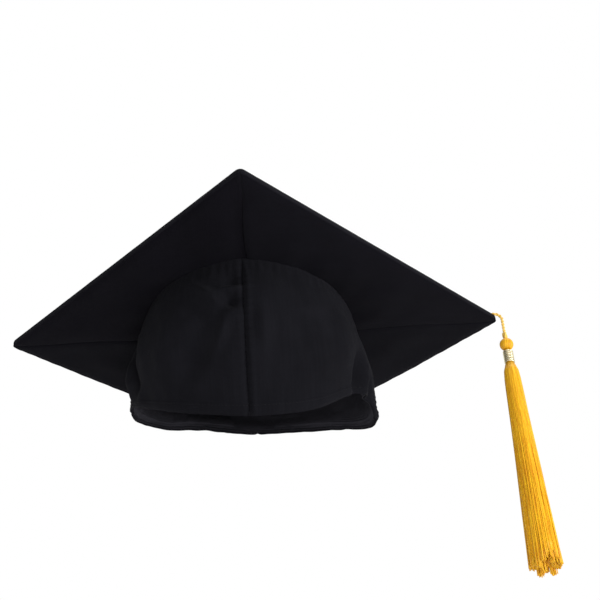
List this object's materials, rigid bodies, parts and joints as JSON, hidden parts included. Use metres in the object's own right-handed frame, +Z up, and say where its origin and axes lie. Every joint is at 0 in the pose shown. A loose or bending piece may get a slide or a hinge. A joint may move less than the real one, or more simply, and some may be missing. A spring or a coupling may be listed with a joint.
{
  "type": "graduation cap",
  "caption": "Square fabric-covered board on a soft elastic-backed skullcap, with a gold thread tassel looped round its button.",
  "frame": {"origin": "middle of the board's underside, inside the skullcap, where the top of a head bears", "axes": "+Z up through the button, -Y to the front corner of the board, +X to the corner the tassel hangs from"},
  "size_m": [0.3526, 0.337, 0.2057],
  "materials": {
    "black_cloth": "matt woven",
    "black_lining": "matt woven",
    "black_elastic": "ribbed elastic",
    "board_card": "matt",
    "fastener_steel": "satin",
    "wood_core": "bare",
    "gold_cord": "shiny rayon cord",
    "gold_thread": "shiny rayon thread",
    "collar_wire": "polished wire"
  },
  "bodies": {
    "cap": {"stiffener_board": "board_card", "top_cover": "black_cloth", "underside_gore_front_right": "black_cloth", "underside_gore_front_left": "black_cloth", "underside_gore_back_left": "black_cloth", "underside_gore_back_right": "black_cloth", "crown_panel_front_right": "black_cloth", "crown_panel_back_right": "black_cloth", "crown_panel_back_left": "black_cloth", "crown_panel_front_left": "black_cloth", "join_tape": "black_lining", "front_hem_facing": "black_lining", "elastic_band": "black_elastic", "elastic_casing": "black_lining", "button_cover": "black_cloth", "button_back_plate": "fastener_steel", "button_core": "wood_core", "button_shank": "fastener_steel", "shank_washer": "fastener_steel"},
    "loop_cord": {"tassel_loop": "gold_cord", "board_cord": "gold_cord"},
    "hanging_cord": {"drop_cord": "gold_cord"},
    "knot": {"cord_knot": "gold_cord"},
    "tassel": {"tassel_head": "gold_thread", "head_bead": "wood_core", "wire_collar": "collar_wire", "neck_bundle": "gold_thread", "skirt_tuft_01": "gold_thread", "skirt_tuft_02": "gold_thread", "skirt_tuft_03": "gold_thread", "skirt_tuft_04": "gold_thread", "skirt_tuft_05": "gold_thread", "skirt_tuft_06": "gold_thread", "skirt_tuft_07": "gold_thread", "skirt_tuft_08": "gold_thread", "skirt_tuft_09": "gold_thread", "skirt_tuft_10": "gold_thread", "skirt_tuft_11": "gold_thread", "skirt_tuft_12": "gold_thread", "skirt_core": "gold_thread"}
  },
  "joints": [
    {"name": "tassel_turn", "type": "hinge", "parent": "cap", "child": "loop_cord", "pos_m": [0, 0, 0.0058], "axis": [0, 0, 1], "range_deg": [-180, 0]},
    {"name": "tassel_swing", "type": "hinge", "parent": "loop_cord", "child": "hanging_cord", "pos_m": [0.1735, 0, -0.0008], "axis": [0, -1, 0], "range_deg": [-15, 70]},
    {"name": "tassel_sway", "type": "hinge", "parent": "hanging_cord", "child": "knot", "pos_m": [0.1735, 0, -0.0126], "axis": [1, 0, 0], "range_deg": [-60, 60]},
    {"name": "tassel_twirl", "type": "hinge", "parent": "knot", "child": "tassel", "pos_m": [0.1735, 0, -0.0201], "axis": [0, 0, 1], "range_deg": [-180, 180]}
  ]
}
